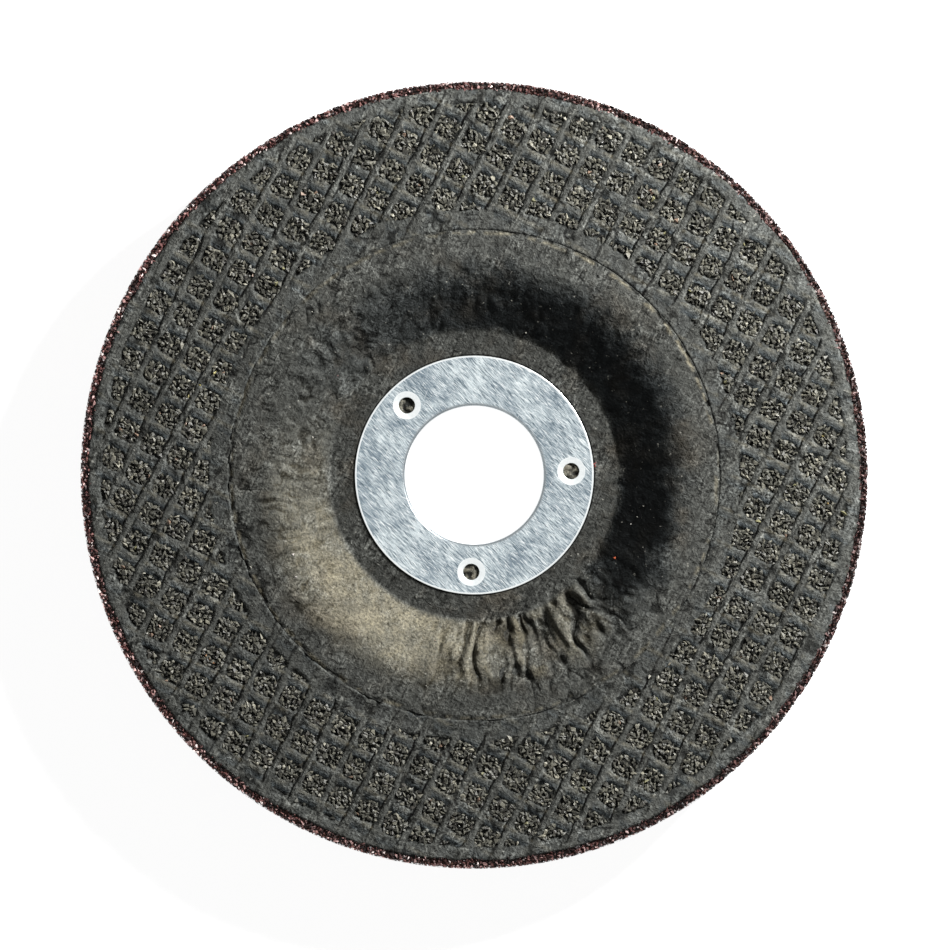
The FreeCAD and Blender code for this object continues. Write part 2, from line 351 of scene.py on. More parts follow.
def resin_cloth_material():
    """Glass cloth soaked in black phenolic resin, pressed hot against a bare plate.

    The resin skin is nearly black and dull, with fine grey mottling where dust sits in
    it. Fibre lines run along each strand; the weft's flank away from the lamp is painted
    darker and bluish as painted shade, its worn flank shows pale glass with painted
    highlight, and the resin has split into black cracks, partly painted shadow.
    """
    material, tree, shader, place = start_material(
        "black_phenolic_resin_on_glass_cloth", {"Roughness": 0.6, "Specular IOR Level": 0.05})
    look = add(tree, SPLIT, {0: add(tree, ATTRIBUTE, {"layer_name": "shape"})})
    light, worn, cool = look.outputs[0], look.outputs[1], look.outputs[2]
    split = add(tree, SPLIT, {0: add(tree, ATTRIBUTE, {"layer_name": "crack"})})
    apart, deep = split.outputs[0], split.outputs[1]

    # Dust grains 0.42 mm across, a leathery skin of 1.2 mm and clouds 4 mm wide
    grain = add(tree, NOISE, {"Vector": place, "Scale": per_mm(0.42), "Detail": 1.5, "Roughness": 0.6,
                              "Distortion": 0.4})
    skin = add(tree, NOISE, {"Vector": place, "Scale": per_mm(1.2), "Detail": 4, "Roughness": 0.62,
                             "Distortion": 0.7})
    cloud = add(tree, NOISE, {"Vector": place, "Scale": per_mm(4.0), "Detail": 3, "Roughness": 0.55})

    # Fibre lines 0.3 mm wide and a few millimetres long, along the weft and the warp
    fibres = []
    for turn, _, _ in (WEFT, WARP):
        along = add(tree, MAPPING, {"vector_type": "TEXTURE", "Rotation": (0, 0, math.radians(turn)),
                                    "Scale": (1, 12, 1), "Vector": place})
        fibres.append(add(tree, NOISE, {"Vector": along, "Scale": per_mm(0.3), "Detail": 2,
                                        "Roughness": 0.6}))
    fibre = add(tree, MIX, {"data_type": "FLOAT", 0: cool, 2: fibres[1].outputs[0], 3: fibres[0].outputs[0]})

    # A crack is black over 0.2 mm and fades out over half a millimetre, unevenly
    away = add(tree, MATH, {"operation": "SUBTRACT", 0: apart, 1: 0.5})
    away = add(tree, MATH, {"operation": "ABSOLUTE", 0: away})
    away = add(tree, MATH, {"operation": "MULTIPLY_ADD", 0: grain, 1: 0.16, 2: away})
    crack = add(tree, RANGE, {0: away, 1: 0.30, 2: 0.16})
    crack = add(tree, MATH, {"operation": "MULTIPLY", 0: crack, 1: deep})

    # Each noise swings the tone about its own value, more in one cloud than in the next
    tone = add(tree, MATH, {"operation": "MULTIPLY", 0: light, 1: 2.15})
    lively = add(tree, RANGE, {0: cloud, 1: 0.38, 2: 0.62, 3: 0.5, 4: 1.35})
    for source, swing in ((grain, 2.8), (skin, 3.2), (cloud, 1.0), (fibre, 1.9)):
        part = add(tree, MATH, {"operation": "MULTIPLY_ADD", 0: source, 1: swing, 2: -swing / 2})
        part = add(tree, MATH, {"operation": "MULTIPLY_ADD", 0: part, 1: lively, 2: 1.0})
        part = add(tree, MATH, {"operation": "MAXIMUM", 0: part, 1: 0.15})
        tone = add(tree, MATH, {"operation": "MULTIPLY", 0: tone, 1: part})
    left = add(tree, MATH, {"operation": "MULTIPLY_ADD", 0: crack, 1: -0.95, 2: 1.0})
    tone = add(tree, MATH, {"operation": "MULTIPLY", 0: tone, 1: left})
    # The cool share tints the painted shade bluish
    tint = add(tree, MIX, {"data_type": "RGBA", 0: cool, 6: srgb("#595a56"), 7: srgb("#53595b")})
    # Brown clouds 7 mm wide lie in the recess
    brown = add(tree, NOISE, {"Vector": place, "Scale": per_mm(7.0), "Detail": 4, "Roughness": 0.6})
    brown = add(tree, RANGE, {0: brown, 1: 0.50, 2: 0.68, 4: 0.42})
    inside = add(tree, RANGE, {0: from_axis(tree, place), 1: STEP_EDGE * MM, 2: (STEP_EDGE - 5) * MM})
    brown = add(tree, MATH, {"operation": "MULTIPLY", 0: brown, 1: inside})
    tint = add(tree, MIX, {"data_type": "RGBA", 0: brown, 6: tint.outputs[2], 7: srgb("#63594a")})
    resin = add(tree, "ShaderNodeVectorMath", {"operation": "SCALE", 0: tint.outputs[2], "Scale": tone})

    # Pale brown dust and bared glass, in small patches, which also carry the painted
    # highlights laid on with the wear
    patch = add(tree, MATH, {"operation": "MULTIPLY_ADD", 0: grain, 1: 2.4, 2: -0.32})
    patch = add(tree, MATH, {"operation": "MULTIPLY", 0: patch, 1: worn, "use_clamp": True})
    colour = add(tree, MIX, {"data_type": "RGBA", 0: patch, 6: resin, 7: srgb("#b3aa90")})

    # A few pale specks, each under half a millimetre
    fleck = add(tree, NOISE, {"Vector": place, "Scale": per_mm(0.6), "Detail": 2, "Roughness": 0.5})
    fleck = add(tree, RANGE, {0: fleck, 1: 0.69, 2: 0.76, 4: 0.5})
    colour = add(tree, MIX, {"data_type": "RGBA", 0: fleck, 6: colour.outputs[2], 7: srgb("#b9b7ac")})
    tree.links.new(colour.outputs[2], shader.inputs["Base Color"])

    relief = add(tree, MATH, {"operation": "MULTIPLY_ADD", 0: skin, 1: 2.2, 2: grain})
    relief = add(tree, MATH, {"operation": "MULTIPLY_ADD", 0: fibre, 1: 0.6, 2: relief})
    bump = add(tree, "ShaderNodeBump", {"Strength": 1.0, "Distance": 0.14 * MM, "Height": relief})
    tree.links.new(bump.outputs[0], shader.inputs["Normal"])
    return material


def grit_material(name, gap):
    """Fused aluminium oxide grit in dark phenolic resin, as pressed.

    Each crushed grain has its own colour from brown-red to cream, thinly coated with
    resin, and its flat faces catch the light; between the grains it is nearly black.
    """
    material, tree, shader, place = start_material(name, {"Roughness": 0.38, "Specular IOR Level": 0.4})
    tint = add(tree, ATTRIBUTE, {"layer_name": "grain"})
    # Film of resin, in patches of 0.22 mm
    film = add(tree, NOISE, {"Vector": place, "Scale": per_mm(0.22), "Detail": 3, "Roughness": 0.7})
    film = add(tree, RANGE, {0: film, 1: 0.38, 2: 0.62, 4: 0.45})
    colour = add(tree, MIX, {"data_type": "RGBA", 0: film, 6: tint, 7: srgb(gap)})
    tree.links.new(colour.outputs[2], shader.inputs["Base Color"])
    bump = add(tree, "ShaderNodeBump", {"Strength": 0.5, "Distance": 0.09 * MM, "Height": film})
    tree.links.new(bump.outputs[0], shader.inputs["Normal"])
    return material


def back_material():
    """Moulded grit and resin body: brown grit on the rim, resin-soaked cloth on the back."""
    material, tree, shader, place = start_material(
        "moulded_alumina_grit_in_phenolic_resin", {"Roughness": 0.55, "Specular IOR Level": 0.2})
    rim = add(tree, SPLIT, {0: add(tree, ATTRIBUTE, {"layer_name": "shape"})})
    # Grit of 0.5 mm in three tones, nearly black between the grains
    cell = add(tree, "ShaderNodeTexVoronoi", {"Scale": per_mm(0.5), "Vector": place})
    share = add(tree, SPLIT, {0: cell.outputs["Color"]})
    grit = add(tree, "ShaderNodeValToRGB", {0: share})
    ramp = grit.color_ramp
    ramp.elements[0].color = srgb("#2a1d19")
    ramp.elements[1].color = srgb("#8a6a5e")
    ramp.elements.new(0.55).color = srgb("#5a3c33")
    gap = add(tree, RANGE, {0: cell.outputs["Distance"], 1: 0.25, 2: 0.6})
    grit = add(tree, MIX, {"data_type": "RGBA", 0: gap, 6: grit, 7: srgb("#120c0a")})
    # The back's resin has a fine grain of 0.3 mm and clouds 4 mm wide
    grain = add(tree, NOISE, {"Vector": place, "Scale": per_mm(0.3), "Detail": 4, "Roughness": 0.75})
    cloud = add(tree, NOISE, {"Vector": place, "Scale": per_mm(4.0), "Detail": 3, "Roughness": 0.55})
    fine = add(tree, MATH, {"operation": "MULTIPLY_ADD", 0: grain, 1: 2.4, 2: -0.2})
    broad = add(tree, MATH, {"operation": "MULTIPLY_ADD", 0: cloud, 1: 0.6, 2: 0.7})
    tone = add(tree, MATH, {"operation": "MULTIPLY", 0: fine, 1: broad})
    resin = add(tree, "ShaderNodeVectorMath", {"operation": "SCALE", 0: srgb("#4c4c47")[:3], "Scale": tone})
    colour = add(tree, MIX, {"data_type": "RGBA", 0: rim, 6: resin, 7: grit.outputs[2]})
    tree.links.new(colour.outputs[2], shader.inputs["Base Color"])
    sunk = add(tree, MATH, {"operation": "MULTIPLY", 0: gap, 1: rim})
    relief = add(tree, MATH, {"operation": "SUBTRACT", 0: grain, 1: sunk})
    bump = add(tree, "ShaderNodeBump", {"Strength": 0.9, "Distance": 0.08 * MM, "Height": relief})
    tree.links.new(bump.outputs[0], shader.inputs["Normal"])
    return material


def steel_material():
    """Bright zinc-plated steel sheet, punched and pressed.

    Handling has left fine scratches, most of them running from upper left to lower
    right, and the plating has faint blue-grey patches, so it glints unevenly.
    """
    material, tree, shader, place = start_material("zinc_plated_steel_sheet", {"Metallic": 1.0})
    # Scratches 0.12 to 0.15 mm wide, each family given by the direction across it
    families = []
    for turn, width in ((42, 0.12), (60, 0.13), (-20, 0.15)):
        along = add(tree, MAPPING, {"vector_type": "TEXTURE", "Rotation": (0, 0, math.radians(turn)),
                                    "Scale": (1, 14, 1), "Vector": place})
        families.append(add(tree, NOISE, {"Vector": along, "Scale": per_mm(width), "Detail": 2,
                                          "Roughness": 0.6}))
    crossed = add(tree, MATH, {"operation": "SUBTRACT", 0: families[2], 1: 0.05})
    crossed = add(tree, MATH, {"operation": "MAXIMUM", 0: families[1], 1: crossed})
    lines = add(tree, MATH, {"operation": "MAXIMUM", 0: families[0], 1: crossed})
    bright = add(tree, RANGE, {0: lines, 1: 0.60, 2: 0.72, 4: 0.9})
    dark = add(tree, RANGE, {0: families[0], 1: 0.46, 2: 0.32, 4: 1.0})
    # Plating grain of 0.32 mm and soft patches 4.5 mm wide
    grain = add(tree, NOISE, {"Vector": place, "Scale": per_mm(0.32), "Detail": 3, "Roughness": 0.75})
    patch = add(tree, NOISE, {"Vector": place, "Scale": per_mm(4.5), "Detail": 2, "Roughness": 0.5})
    mottle = add(tree, MATH, {"operation": "MULTIPLY", 0: patch, 1: 0.55})
    for source, share in ((grain, 0.3), (families[0], 0.6), (families[1], 0.45)):
        mottle = add(tree, MATH, {"operation": "MULTIPLY_ADD", 0: source, 1: share, 2: mottle})
    mottle = add(tree, RANGE, {0: mottle, 1: 0.82, 2: 1.10})
    colour = add(tree, MIX, {"data_type": "RGBA", 0: mottle, 6: srgb("#82909a"), 7: srgb("#dbe5e7")})
    colour = add(tree, MIX, {"data_type": "RGBA", 0: dark, 6: colour.outputs[2], 7: srgb("#56666f")})
    colour = add(tree, MIX, {"data_type": "RGBA", 0: bright, 6: colour.outputs[2], 7: srgb("#fbfdfc")})
    # The bent lip is painted darker than the flange, as painted shade where the sheet
    # curves down into the bore
    lip = add(tree, RANGE, {0: from_axis(tree, place), 1: (BORE_RADIUS + 0.5) * MM,
                            2: (BORE_RADIUS + 0.2) * MM, 4: 0.8})
    colour = add(tree, MIX, {"data_type": "RGBA", 0: lip, 6: colour.outputs[2], 7: srgb("#8b9194")})
    tree.links.new(colour.outputs[2], shader.inputs["Base Color"])
    rough = add(tree, MATH, {"operation": "MULTIPLY_ADD", 0: grain, 1: 0.2, 2: 0.24})
    tree.links.new(rough.outputs[0], shader.inputs["Roughness"])
    relief = add(tree, MATH, {"operation": "MULTIPLY_ADD", 0: lines, 1: 0.8, 2: grain})
    bump = add(tree, "ShaderNodeBump", {"Strength": 0.5, "Distance": 0.03 * MM, "Height": relief})
    tree.links.new(bump.outputs[0], shader.inputs["Normal"])
    return material


def burnished_and_highlight_material():
    """Steel rubbed bright by the punch and painted brighter still as painted highlight, so each dish shows
    as a white ring.
    """
    material, tree, shader, place = start_material("steel_burnished_with_painted_highlight", {"Metallic": 1.0})
    grain = add(tree, NOISE, {"Vector": place, "Scale": per_mm(0.4), "Detail": 3, "Roughness": 0.6})
    colour = add(tree, MIX, {"data_type": "RGBA", 0: grain, 6: srgb("#dde4e5"), 7: srgb("#fbfdfc")})
    tree.links.new(colour.outputs[2], shader.inputs["Base Color"])
    rough = add(tree, MATH, {"operation": "MULTIPLY_ADD", 0: grain, 1: 0.2, 2: 0.25})
    tree.links.new(rough.outputs[0], shader.inputs["Roughness"])
    return material


# The cloth's open weave

def weave_surface(x, y):
    """Height and look of the weave at a place.

    The weft is a leaning bundle, 11.07 - 0.15 (0.3 - d)^1.5 down to the lower left of its
    crest and 11.07 - 0.25 (d - 0.4)^2 beyond it; the warp is a round one, 11.08 - 0.22
    d^2; the higher of the two shows. Openings are where (u / a)^4 + (v / b)^4 < 1 about
    the middle of each mesh. Inside and outside the woven ring the skin is flat, and the
    strands only show through. The look holds lightness with painted shade and highlight,
    wear with painted highlight, the painted cool shade of the weft, distance from a crack
    and the crack's strength.
    """
    radius = np.hypot(x, y)
    weft, warp = strands(x, y)
    leaning = FACE_TOP - 0.03 - 0.15 * np.clip(0.3 - weft, 0, 1.6) ** 1.5
    leaning = leaning - 0.25 * np.clip(weft - 0.4, 0, 1) ** 2
    round_warp = FACE_TOP - 0.02 - 0.22 * warp ** 2
    top = np.maximum(leaning, round_warp)
    is_warp = smooth(-0.03, 0.03, round_warp - leaning)
    grow_u, grow_v = (1 + 0.14 * (noise(x, y, 1.3, seed) - 0.5) for seed in (7, 8))
    from_middle = from_mesh_middle(weft, warp, grow_u, grow_v)
    ragged = 0.5 * (noise(x, y, 1.3, 21) - 0.5)
    shown = smooth(WEAVE_INSIDE - 0.15, WEAVE_INSIDE + 0.2, radius + ragged)
    shown = shown * (1 - smooth(WEAVE_OUTSIDE - 0.2, WEAVE_OUTSIDE + 0.15, radius + ragged))
    skin = smooth(0.8, 1.1, from_middle)
    pit = (1 - skin) * shown
    floor = PIT_FLOOR + 0.08 - 0.1 * noise(x, y, 0.6, 9)

    # A black line wanders along the upper left side of each warp strand, away from the lamp,
    # partly a resin crack and partly painted shadow of the strand, a faint one along its
    # other side, and a few hairlines cross the skin
    open_here = shown + 0.7 * (1 - shown) * smooth(0.45, 0.62, noise(x, y, 1.6, 11))
    distance, strength = choose_crack(
        (warp + 0.45 * (noise(x, y, 1.7, 10) - 0.5) - 0.60,
         open_here * smooth(0.18, 0.36, noise(x, y, 2.4, 14))),
        (warp + 0.30 * (noise(x, y, 1.4, 18) - 0.5) + 0.62,
         0.7 * open_here * smooth(0.5, 0.7, noise(x, y, 2.1, 15))),
        (1.6 * (noise(x, y, 1.4, 16) - 0.5),
         0.7 * smooth(0.60, 0.74, noise(x, y, 2.0, 17))),
    )
    strength = strength * (1 - pit)
    groove = strength * bell(distance, 0, 0.20)

    # Beside the woven ring the strands show through the skin at a third of their relief
    ghost = 0.32 * smooth(0.0, 1.0, 1 - shown)
    below = FACE_TOP - np.maximum(top, FACE_TOP - 0.35)
    flat = FACE_TOP - 0.03 - ghost * below - 0.03 * noise(x, y, 1.1, 12)
    woven = top * (1 - pit) + floor * pit
    height = flat * (1 - shown) + woven * shown - groove * (0.05 + 0.20 * shown)
    # Resin fills the corner below the centre's step wherever that is pressed level
    filled = smooth(STEP_EDGE + 1.2, STEP_EDGE, radius) * smooth(0.30, 0.55, noise(x, y, 2.1, 70))
    height = height + filled * np.maximum(FACE_TOP - 0.01 - height, 0)

    # The side of the weft that leans away from its crest and from the lamp is painted
    # darker and bluish as painted shade; its crest is painted lighter as painted highlight,
    # and its side that faces the lamp is painted a little darker to even out the light
    shaded = smooth(0.1, -0.95, weft) * (1 - is_warp) * skin
    crest = bell(weft, -0.05, 0.35) * (1 - is_warp)
    lit_side_painted_darker = smooth(0.25, 0.65, weft) * (1 - is_warp)
    light = 0.49 - 0.10 * shaded + 0.10 * crest - 0.06 * lit_side_painted_darker
    # The pit floor between the grains is painted dark, partly black resin and partly painted shade
    light = light * skin + 0.10 * (1 - skin)
    outer = smooth(WEAVE_OUTSIDE - 0.1, WEAVE_OUTSIDE + 0.3, radius)
    light = (0.41 + 0.15 * outer) * (1 - shown) + light * shown
    # The weft's flank toward the lamp is painted pale, partly worn glass and partly painted highlight
    flank = bell(weft, 0.45, 0.30) * (1 - is_warp) * skin * smooth(0.3, 0.75, noise(x, y, 1.2, 13))
    worn = (0.16 + 0.04 * shown) * flank
    cool = shaded * (0.4 + 0.6 * shown) + 0.15 * (1 - is_warp)
    return height, (light, worn, cool, distance, strength)


def make_weave():
    """Woven ring of the cloth: a slab whose upper side is a height over a polar grid."""
    columns = 1200
    inner = np.linspace(STEP_EDGE, WEAVE_INSIDE - 0.3, 8)
    woven = np.linspace(WEAVE_INSIDE, WEAVE_OUTSIDE + 0.2, 66)
    outer = np.linspace(WEAVE_OUTSIDE + 0.5, CLOTH_EDGE, 7)
    rows = np.concatenate([inner, woven, outer])
    turn = around(columns)
    # The cut edge of the cloth wanders
    edge_noise = noise(CLOTH_EDGE * np.cos(turn), CLOTH_EDGE * np.sin(turn), 2.2, 31) - 0.55
    reach = smooth(WEAVE_OUTSIDE + 0.6, CLOTH_EDGE, rows)[:, None] * 0.5 * edge_noise[None]
    radius = rows[:, None] + reach
    x, y = radius * np.cos(turn), radius * np.sin(turn)
    height, looks = weave_surface(x, y)
    # The edge of the cloth rolls down a little, and is blacker in places
    roll = smooth(CLOTH_EDGE - 0.5, CLOTH_EDGE, rows)[:, None]
    height = height - 0.18 * roll ** 2
    looks[0][:] *= 1 - 0.75 * roll * smooth(0.3, 0.6, noise(x, y, 0.9, 32))
    radius = np.vstack([radius, radius[-1], radius[0]])
    height = np.vstack([height, np.full((2, columns), FACE_UNDER + HAIR)])
    piece = turn_section("cloth_weave", radius, height, columns)
    paint_cloth(piece, looks, under_rows=2)
    return piece


def make_pit_grit():
    """Resin-coated grit in the openings of the weave: a shaken grid inside each one."""
    random = np.random.default_rng(41)
    step = 0.50
    line = np.arange(-CLOTH_EDGE, CLOTH_EDGE, step)
    x, y = (grid.ravel() for grid in np.meshgrid(line, line))
    x = x + random.uniform(-0.5, 0.5, len(x)) * step
    y = y + random.uniform(-0.5, 0.5, len(y)) * step
    radius = np.hypot(x, y)
    keep = (radius > WEAVE_INSIDE + 0.2) & (radius < WEAVE_OUTSIDE - 0.25)
    x, y = x[keep], y[keep]
    from_middle = from_mesh_middle(*strands(x, y))
    keep = from_middle < 0.95 + 0.3 * (noise(x, y, 1.1, 44) - 0.5)
    x, y, from_middle = x[keep], y[keep], from_middle[keep]
    size = random.uniform(0.34, 0.70, len(x))
    # Grains against the strands are half buried in resin
    height = PIT_FLOOR + 0.16 + random.uniform(-0.04, 0.16, len(x)) - 0.06 * smooth(0.5, 1.0, from_middle)
    height = np.minimum(height, FACE_TOP - 0.05 - 0.3 * size)
    tones = srgb_rows("#6e6d63", "#605f56", "#7c7a6d", "#52514a", "#918e80", "#434039", "#aeaa98")
    colours = tones[random.choice(7, len(x), p=(0.26, 0.23, 0.18, 0.14, 0.08, 0.08, 0.03))]
    rare = random.random(len(x))[:, None]
    colours = np.where(rare < 0.004, srgb_rows("#a48a76"), colours)
    colours = np.where(rare > 0.997, srgb_rows("#96936c"), colours)

    # Loose grains caught on the resin: ten in the recess and at its mouth, nine among the
    # strands, and two that leave a red trace at the steel ring's edge
    loose = (
        (-28.8, -12.7, "#e6dcd6"), (-28.4, -16.2, "#d8cfc8"), (-9.4, -22.4, "#d9d7cf"),
        (-22.1, -27.1, "#dcdad0"), (-6.2, -26.7, "#c9583a"), (22.4, -13.3, "#d0643e"),
        (-21.8, 15.9, "#d98f8c"), (-35.5, -14.6, "#c9c6ba"), (31.0, -30.0, "#c2b9a4"),
        (6.5, 36.4, "#bdbbb0"),
        (55.0, -11.1, "#f4f1e6"), (-41.2, 16.2, "#d8cd86"), (-43.5, 14.2, "#d0c47c"),
        (-45.4, 12.5, "#d9cf96"), (55.2, 6.2, "#e0cf8a"), (56.1, -4.5, "#d8b878"),
        (-42.0, -29.2, "#b98a62"), (-41.4, -29.8, "#a87850"), (-42.6, -28.7, "#c49a74"),
        (19.2, 1.8, "#b0504a"), (19.25, 1.4, "#9c4640"),
    )
    # Specks of dust on the resin of the wall
    dust = random.uniform(-38, 38, (60, 2))
    away = np.hypot(dust[:, 0], dust[:, 1])
    dust = dust[(away > 23.5) & (away < 38)]
    pale = srgb_rows("#a9a79c", "#c8c5b8")[random.integers(0, 2, len(dust))]
    caught = np.vstack([[(x_at, y_at) for x_at, y_at, _ in loose], dust])
    caught_size = [random.uniform(0.3, 0.42, len(loose)), random.uniform(0.12, 0.2, len(dust))]
    caught_size = np.concatenate(caught_size)
    away = np.hypot(caught[:, 0], caught[:, 1])
    caught_height = np.where(away > STEP_EDGE, FACE_TOP - 0.1, centre_height(away) - 0.03)
    caught_height = np.minimum(caught_height, CENTRE_TOP - 0.5 * caught_size)
    centres = np.vstack([np.stack([x, y, height], 1), np.column_stack([caught, caught_height])])
    size = np.concatenate([size, caught_size])
    colours = np.vstack([colours, srgb_rows(*(code for _, _, code in loose)), pale])
    piece = make_grains("pit_grit", centres, size, tilt=0.35, colours=colours, seed=42)
    return piece


# The doubled centre

def centre_height(radius):
    """Section of the recess: seat, floor, 27 degree wall, round of the mouth, flat."""
    slope = math.tan(WALL_ANGLE)
    corner = FLOOR_EDGE + (CENTRE_TOP - FLOOR_TOP) / slope
    run = MOUTH_ROUND * math.tan(WALL_ANGLE / 2)
    wall = FLOOR_TOP + (radius - FLOOR_EDGE) * slope
    centre = corner + run
    arc = CENTRE_TOP - MOUTH_ROUND + np.sqrt(np.clip(MOUTH_ROUND ** 2 - (radius - centre) ** 2, 0, None))
    height = np.where(radius < corner - run * math.cos(WALL_ANGLE), wall, arc)
    height = np.where(radius > centre, CENTRE_TOP, height)
    return np.where(radius < FLOOR_EDGE, FLOOR_TOP, height)


def wall_folds(x, y, radius, degrees, on_wall):
    """Lift of the folds down the wall, and the black lines among them.

    Noise is read at a place whose radius is squeezed toward 28 mm, which draws it out
    down the wall: 4 times at the lower right, where folds stand, and 2.4 times at the
    left, where there are wrinkles; elsewhere the same noise makes shallow dents. Lift =
    3.4 |broad - 0.45| + 0.9 (narrow - 0.5) + 0.5 (fine - 0.5) - 0.38, times a strength.
    Black creases lie where the broad or the narrow noise crosses one level, the broad
    one along the folds' valleys, partly cracks in the resin and partly painted shade in
    the creases, and short chips, most of them at the left, where a third one does.
    """
    bent_x, bent_y = noise(x, y, 3.4, 53) - 0.5, noise(x, y, 3.4, 54) - 0.5
    squeeze = 1.3 + 2.7 * about(degrees, 288, 34) + 1.1 * about(degrees, 200, 26)
    squeezed = (28 + (radius - 28) / squeeze + 0.5 * (noise(x, y, 3, 52) - 0.5)) / radius
    fold_x, fold_y = x * squeezed + 1.5 * bent_x, y * squeezed + 1.5 * bent_y
    broad = noise(fold_x, fold_y, 1.9, 55)
    narrow = noise(fold_x, fold_y, 0.9, 56)
    short = noise(fold_x, fold_y, 1.1, 60)
    strong = 1.0 * about(degrees, 291, 26) + 0.15 * about(degrees, 140, 38) + 0.21 * about(degrees, 200, 26)
    strong = np.clip(strong + 0.08 * about(degrees, 50, 50) + 0.09, 0, 1)
    lift = 3.4 * np.abs(broad - 0.45) - 0.38 + 0.9 * (narrow - 0.5) + 0.5 * (noise(x, y, 1.2, 57) - 0.5)
    lift = np.clip(on_wall * strong * lift, -0.40, 0.95)

    gate = smooth(0.30, 0.50, noise(x, y, 3.6, 58)) * smooth(0.15, 0.50, strong) * on_wall
    narrow_gate = 0.8 * gate * smooth(0.40, 0.55, noise(x, y, 2.8, 59))
    chipped = smooth(0.58 - 0.12 * about(degrees, 195, 26), 0.70, noise(x, y, 2.0, 61))
    chipped = 0.8 * chipped * smooth(0.1, 0.25, strong) * smooth(23.5, 25, radius)
    lines = (
        ((broad - 0.45) * 2.4, gate),
        ((narrow - 0.42) * 1.8, narrow_gate),
        ((short - 0.5) * 1.8, chipped),
    )
    return lift, lines


def wall_dust_and_painted_shade(x, y, radius, degrees):
    """Dust on the wall's lower left, partly painted highlight, painted shade from its lower
    right to its top on the side away from the lamp, and how much that shade darkens.

    The painted shade is blackest 15 degrees below the right.
    """
    # The dust lies on the side facing the lamp, so its paleness is partly real dust and partly painted
    # highlight
    dust = about(degrees, 230, 42) * (1 - 0.05 * smooth(258, 276, degrees))
    dust = dust * smooth(WALL_FOOT, 24.0, radius) * (1 - smooth(28.5, WALL_HEAD, radius))
    dust = dust * (0.5 + 0.5 * noise(x, y, 1.2, 63)) * (0.55 + 0.6 * noise(x, y, 3, 64))
    # Painted shade on the wall's side away from the lamp, from its lower right to its top
    signed = (degrees + 180) % 360 - 180
    painted_shade_side = smooth(-52, -31, signed + 12 * (noise(x, y, 2.4, 69) - 0.5)) * (1 - smooth(60, 190, signed))
    patchy = radius + 3.0 * (noise(x, y, 2.2, 66) - 0.5) + 1.4 * (noise(x, y, 0.9, 75) - 0.5)
    painted_shade_side = painted_shade_side * smooth(22.7, 24.2, radius + 0.8 * (noise(x, y, 1.5, 78) - 0.5))
    painted_shade_side = painted_shade_side * (1 - smooth(29.5, 36, patchy))
    return dust, painted_shade_side, painted_shade_side * (0.77 + 0.17 * bell(signed, -15, 24))


def centre_surface(rows, turn):
    """Radius, height and look of the centre, for rows of it and azimuths round it."""
    degrees = np.degrees(turn)[None]
    # The step wanders by a few hundredths of a millimetre
    edge = 0.12 * (noise(39 * np.cos(turn), 39 * np.sin(turn), 2.6, 51) - 0.5)
    radius = rows[:, None] + edge[None] * smooth(37.5, STEP_EDGE, rows)[:, None]
    x, y = radius * np.cos(turn), radius * np.sin(turn)
    on_wall = smooth(WALL_FOOT, 23.8, radius) * (1 - smooth(31.5, WALL_HEAD, radius))
    in_open = (rows > SEAT_EDGE + 0.2)[:, None]
    in_holes = (np.abs(rows - ANCHOR_CIRCLE) < ANCHOR_RADIUS - 0.01)[:, None]

    # The step's edge is a broken black line, partly a crack and partly painted shadow of
    # the step, strongest at the left, away from the lamp, and faint at the right
    lift, lines = wall_folds(x, y, radius, degrees, on_wall)
    wander = noise(x, y, 1.1, 71)
    step = 0.3 + 0.7 * about(degrees, 190, 60) + 0.4 * about(degrees, 20, 50)
    step = step * smooth(0.46, 0.56, noise(x, y, 1.1, 68))
    distance, strength = choose_crack(*lines, (radius - STEP_EDGE + 0.25 + 0.5 * (wander - 0.5), step))

    height = np.where(rows[:, None] < SEAT_EDGE - 0.01, FLANGE_UNDER, centre_height(radius))
    height = height + lift - 0.22 * strength * bell(distance, 0, 0.22) * in_open
    height = height - 0.05 * noise(x, y, 0.8, 62) * in_open
    lumpy = smooth(0.3, 0.75, noise(x, y, 0.55, 77))
    height = height - 0.24 * (1 - lumpy) * in_holes
    # The rim of the doubled centre is pressed down, more in some places than in others
    pressed = smooth(0.3, 0.7, noise(x, y, 2.1, 70))
    height = height - (0.04 + 0.12 * pressed) * smooth(STEP_EDGE - 0.2 - 1.1 * pressed, STEP_EDGE, radius)
    height = np.minimum(height, CENTRE_TOP)

    dust, painted_shade_side, shade = wall_dust_and_painted_shade(x, y, radius, degrees)
    # Lightness is a little lower inside the recess and lower still on its flat floor, as painted shade of
    # the recess, and the wall's painted shade darkens it further
    light = 0.36 + 0.04 * smooth(34, 36, radius) + 0.06 * (noise(x, y, 2.4, 65) - 0.4)
    light = np.where(radius < FLOOR_EDGE, 0.29, light * (1 - shade))
    # It is painted dark beside the ring, as painted shade of the gap, and in the ring's
    # holes the resin is painted dark as painted shade, with grey dusty lumps
    light = np.where(radius < SEAT_EDGE, 0.12, light)
    light = np.where(radius < SEAT_EDGE - 0.4, 0.10 + 0.36 * lumpy, light)
    # The folds' crests at the lower right are painted pale, partly rubbed wear and partly
    # painted highlight, and so is the step in places, strongest towards the lamp and at the
    # lower left; the wall's dust adds its paleness, partly painted highlight
    crest_wear_and_highlight = about(degrees, 286, 24) * on_wall * smooth(0.0, 0.45, lift)
    broken = 0.4 + 0.6 * about(degrees, 40, 60) + 0.5 * about(degrees, 235, 35)
    broken = smooth(0.44, 0.58, noise(x, y, 1.2, 67)) * broken
    step_line_wear_and_highlight = bell(radius, STEP_EDGE - 0.30 - 0.3 * wander, 0.26) * broken
    worn = 0.68 * dust + 0.20 * crest_wear_and_highlight + 0.46 * step_line_wear_and_highlight + 0.22 * lumpy * in_holes
    # The cool share is the bluish tint of the wall's painted shade
    return radius, height, (light, worn, 0.8 * painted_shade_side, distance, strength)


